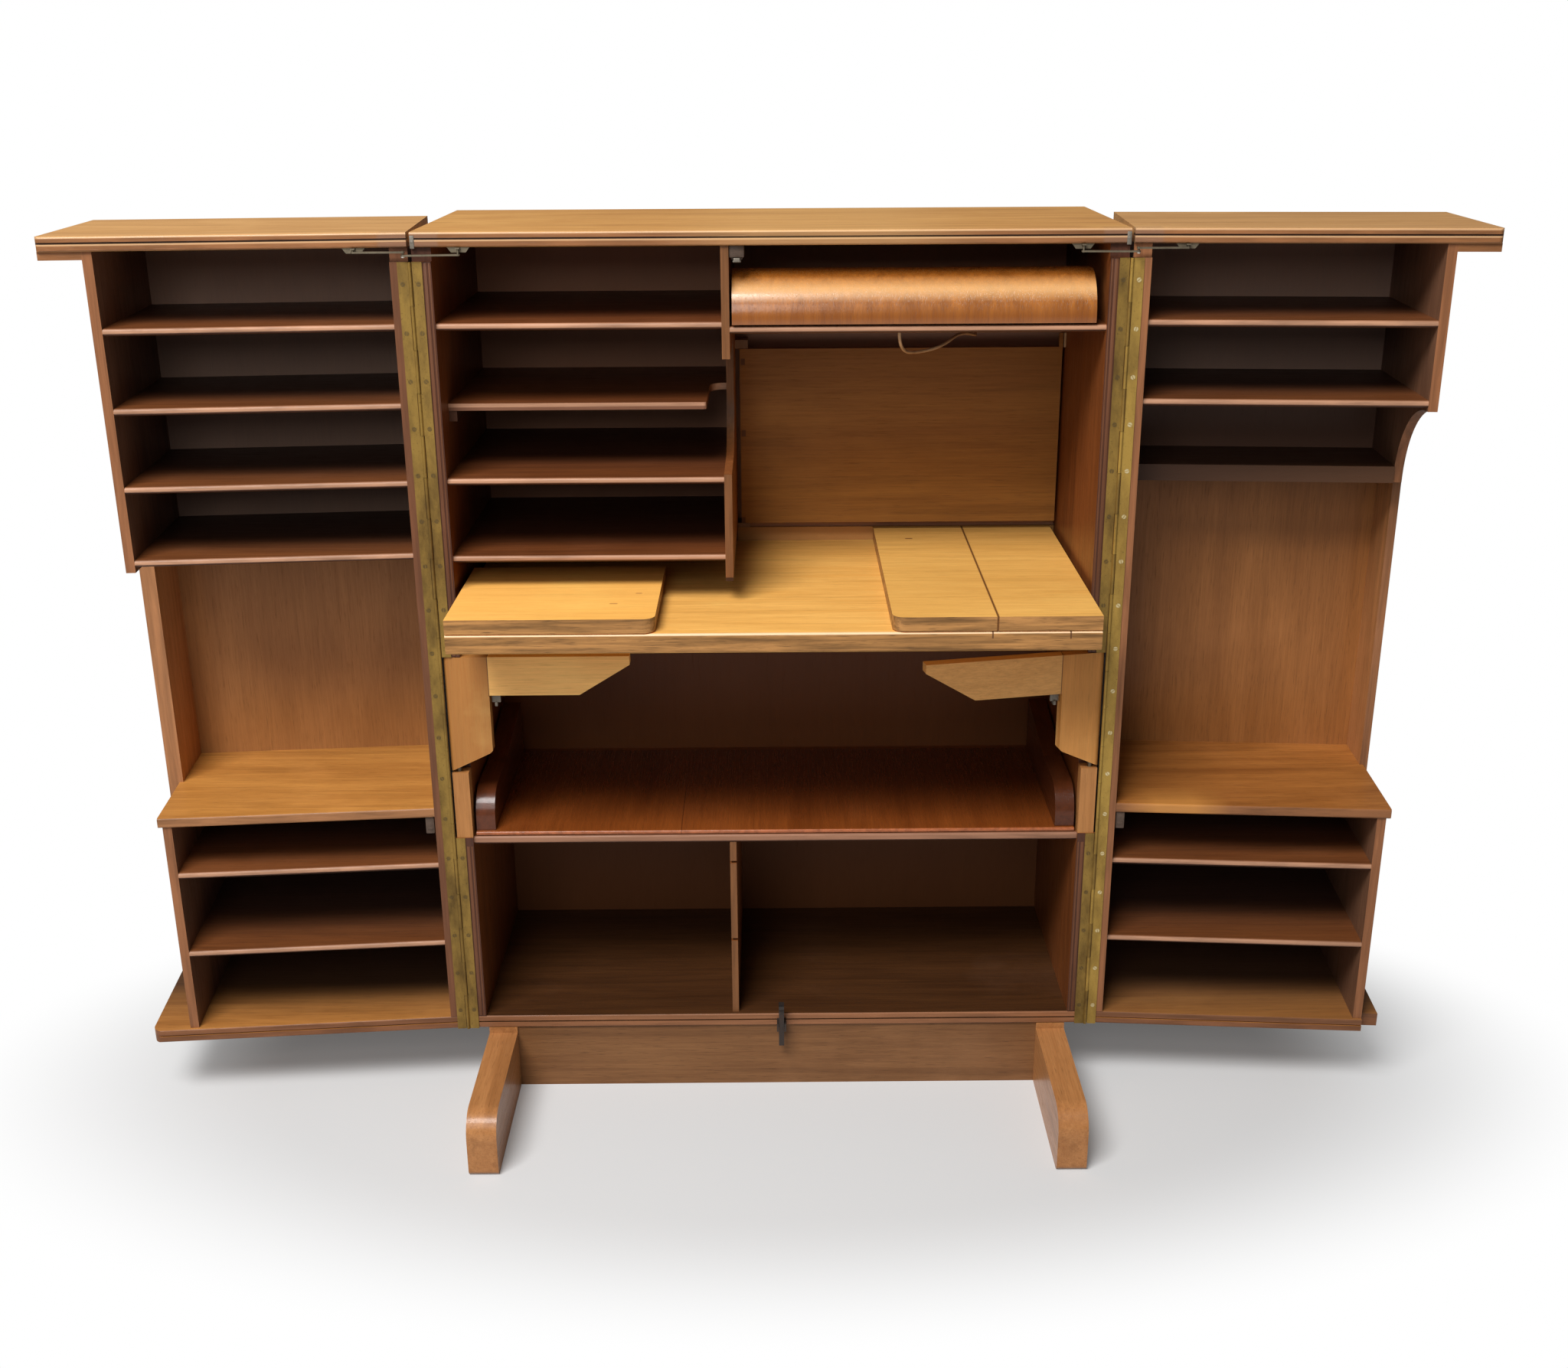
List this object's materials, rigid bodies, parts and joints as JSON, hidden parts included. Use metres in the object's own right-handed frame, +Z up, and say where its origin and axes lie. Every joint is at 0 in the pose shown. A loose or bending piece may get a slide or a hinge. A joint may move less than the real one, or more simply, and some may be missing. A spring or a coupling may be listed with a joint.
{
  "type": "fold-out cabinet desk",
  "caption": "Free-standing cabinet desk with two deep shelved doors that open flat, a pull-out desktop with leaves, swinging brackets, pigeonholes and a hooded lamp.",
  "frame": {"origin": "centre of the object's box, at the floor", "axes": "+Z up, -Y toward the person who sits at the desk, +X to that person's right"},
  "size_m": [1.7928, 0.552, 1.2],
  "materials": {
    "veneer": "satin mid brown veneer",
    "interior": "satin dark reddish brown veneer",
    "orange_veneer": "satin golden orange veneer",
    "desk_wood": "satin pale honey veneer, grain along the width",
    "bracket_wood": "plain pale brown wood",
    "pale_wood": "pale plain panel",
    "tray_wood": "satin brown veneer",
    "rail_wood": "dark brown wood",
    "hood_wood": "glossy orange brown bent plywood, grain upright",
    "brass": "aged brass",
    "steel": "plain bright steel",
    "iron": "dark iron",
    "lamp_glass": "white tube in white holders",
    "cord": "pale flex"
  },
  "bodies": {
    "cabinet": {"feet": "veneer", "stretchers": "veneer", "carcass_top": "orange_veneer", "carcass_bottom": "veneer", "carcass_back": "interior", "carcass_side_left": "veneer", "carcass_side_right": "veneer", "middle_shelf": "interior", "lower_divider": "interior", "upper_divider": "interior", "pigeonhole_shelves": "interior", "letter_shelf": "interior", "lamp_shelf": "interior", "hood_pivots": "steel", "lamp": "lamp_glass", "lamp_cord": "cord", "panel_fittings": "steel", "desk_runners": "pale_wood", "bracket_battens": "bracket_wood", "bracket_pins": "steel", "latch_bracket": "iron", "cabinet_hinge_leaves": "brass", "hinge_pins": "brass", "cabinet_staples": "steel"},
    "left_door": {"door_left_top": "orange_veneer", "door_left_bottom": "veneer", "door_left_panel": "veneer", "door_left_hinge_wall": "veneer", "door_left_outer_walls": "veneer", "door_left_shelves": "interior", "door_left_counter": "orange_veneer", "door_left_side_board": "interior", "door_left_hinge_leaf": "brass", "door_left_staple": "steel"},
    "right_door": {"door_right_top": "orange_veneer", "door_right_bottom": "veneer", "door_right_panel": "veneer", "door_right_hinge_wall": "veneer", "door_right_outer_walls": "veneer", "door_right_shelves": "interior", "door_right_counter": "orange_veneer", "door_right_side_board": "interior", "door_right_hinge_leaf": "brass", "door_right_staple": "steel"},
    "left_stay_cabinet_link": {"stay_left_cabinet_link": "steel"},
    "left_stay_door_link": {"stay_left_door_link": "steel"},
    "right_stay_cabinet_link": {"stay_right_cabinet_link": "steel"},
    "right_stay_door_link": {"stay_right_door_link": "steel"},
    "desktop": {"desktop": "desk_wood"},
    "left_leaf": {"left_leaf": "desk_wood"},
    "right_leaf": {"right_leaf_inner": "desk_wood", "right_leaf_outer": "desk_wood"},
    "left_bracket": {"bracket_left": "bracket_wood"},
    "right_bracket": {"bracket_right": "bracket_wood"},
    "tray": {"tray": "tray_wood", "tray_rails": "rail_wood"},
    "lamp_hood": {"lamp_hood": "hood_wood", "hood_plates": "steel"},
    "service_panel": {"service_panel": "pale_wood"},
    "latch": {"latch_hook": "iron"}
  },
  "joints": [
    {"name": "left_door_hinge", "type": "hinge", "parent": "cabinet", "child": "left_door", "pos_m": [-0.44, -0.064, 0.6], "axis": [0, 0, 1], "range_deg": [-4.5, 175.5]},
    {"name": "right_door_hinge", "type": "hinge", "parent": "cabinet", "child": "right_door", "pos_m": [0.44, -0.064, 0.6], "axis": [0, 0, -1], "range_deg": [-4.5, 175.5]},
    {"name": "left_stay_cabinet_pivot", "type": "hinge", "parent": "cabinet", "child": "left_stay_cabinet_link", "pos_m": [-0.38, -0.064, 1.173], "axis": [0, 0, 1], "range_deg": [-4.5, 175.5]},
    {"name": "left_stay_door_pivot", "type": "hinge", "parent": "left_door", "child": "left_stay_door_link", "pos_m": [-0.5058, -0.06918, 1.177], "axis": [0, 0, 1], "range_deg": [-175.5, 4.5]},
    {"name": "right_stay_cabinet_pivot", "type": "hinge", "parent": "cabinet", "child": "right_stay_cabinet_link", "pos_m": [0.38, -0.064, 1.173], "axis": [0, 0, -1], "range_deg": [-4.5, 175.5]},
    {"name": "right_stay_door_pivot", "type": "hinge", "parent": "right_door", "child": "right_stay_door_link", "pos_m": [0.5058, -0.06918, 1.177], "axis": [0, 0, -1], "range_deg": [-175.5, 4.5]},
    {"name": "desktop_slide", "type": "slide", "parent": "cabinet", "child": "desktop", "axis": [0, 1, 0], "range_m": [-0.3, 0]},
    {"name": "left_leaf_swivel", "type": "hinge", "parent": "desktop", "child": "left_leaf", "pos_m": [-0.392, -0.173, 0.735], "axis": [0, 0, 1], "range_deg": [-90, 0]},
    {"name": "right_leaf_swivel", "type": "hinge", "parent": "desktop", "child": "right_leaf", "pos_m": [0.392, -0.173, 0.735], "axis": [0, 0, -1], "range_deg": [-90, 0]},
    {"name": "left_bracket_swing", "type": "hinge", "parent": "cabinet", "child": "left_bracket", "pos_m": [-0.427, -0.0535, 0.6], "axis": [0, 0, 1], "range_deg": [-90, 0]},
    {"name": "right_bracket_swing", "type": "hinge", "parent": "cabinet", "child": "right_bracket", "pos_m": [0.427, -0.0535, 0.6], "axis": [0, 0, -1], "range_deg": [-79, 11]},
    {"name": "tray_slide", "type": "slide", "parent": "cabinet", "child": "tray", "axis": [0, 1, 0], "range_m": [-0.25, 0]},
    {"name": "lamp_hood_tilt", "type": "hinge", "parent": "cabinet", "child": "lamp_hood", "pos_m": [0.176, -0.006, 1.094], "axis": [1, 0, 0], "range_deg": [-80, 0]},
    {"name": "service_panel_swing", "type": "hinge", "parent": "cabinet", "child": "service_panel", "pos_m": [-0.04, 0.236, 0.886], "axis": [0, 0, 1], "range_deg": [-90, 0]},
    {"name": "latch_rock", "type": "hinge", "parent": "cabinet", "child": "latch", "pos_m": [0.0065, -0.074, 0.103], "axis": [1, 0, 0], "range_deg": [-15, 0]}
  ],
  "couplings": [
    {"joint": "left_stay_cabinet_pivot", "follows": "left_door_hinge", "ratio": 1},
    {"joint": "left_stay_door_pivot", "follows": "left_door_hinge", "ratio": -1},
    {"joint": "right_stay_cabinet_pivot", "follows": "right_door_hinge", "ratio": 1},
    {"joint": "right_stay_door_pivot", "follows": "right_door_hinge", "ratio": -1}
  ]
}
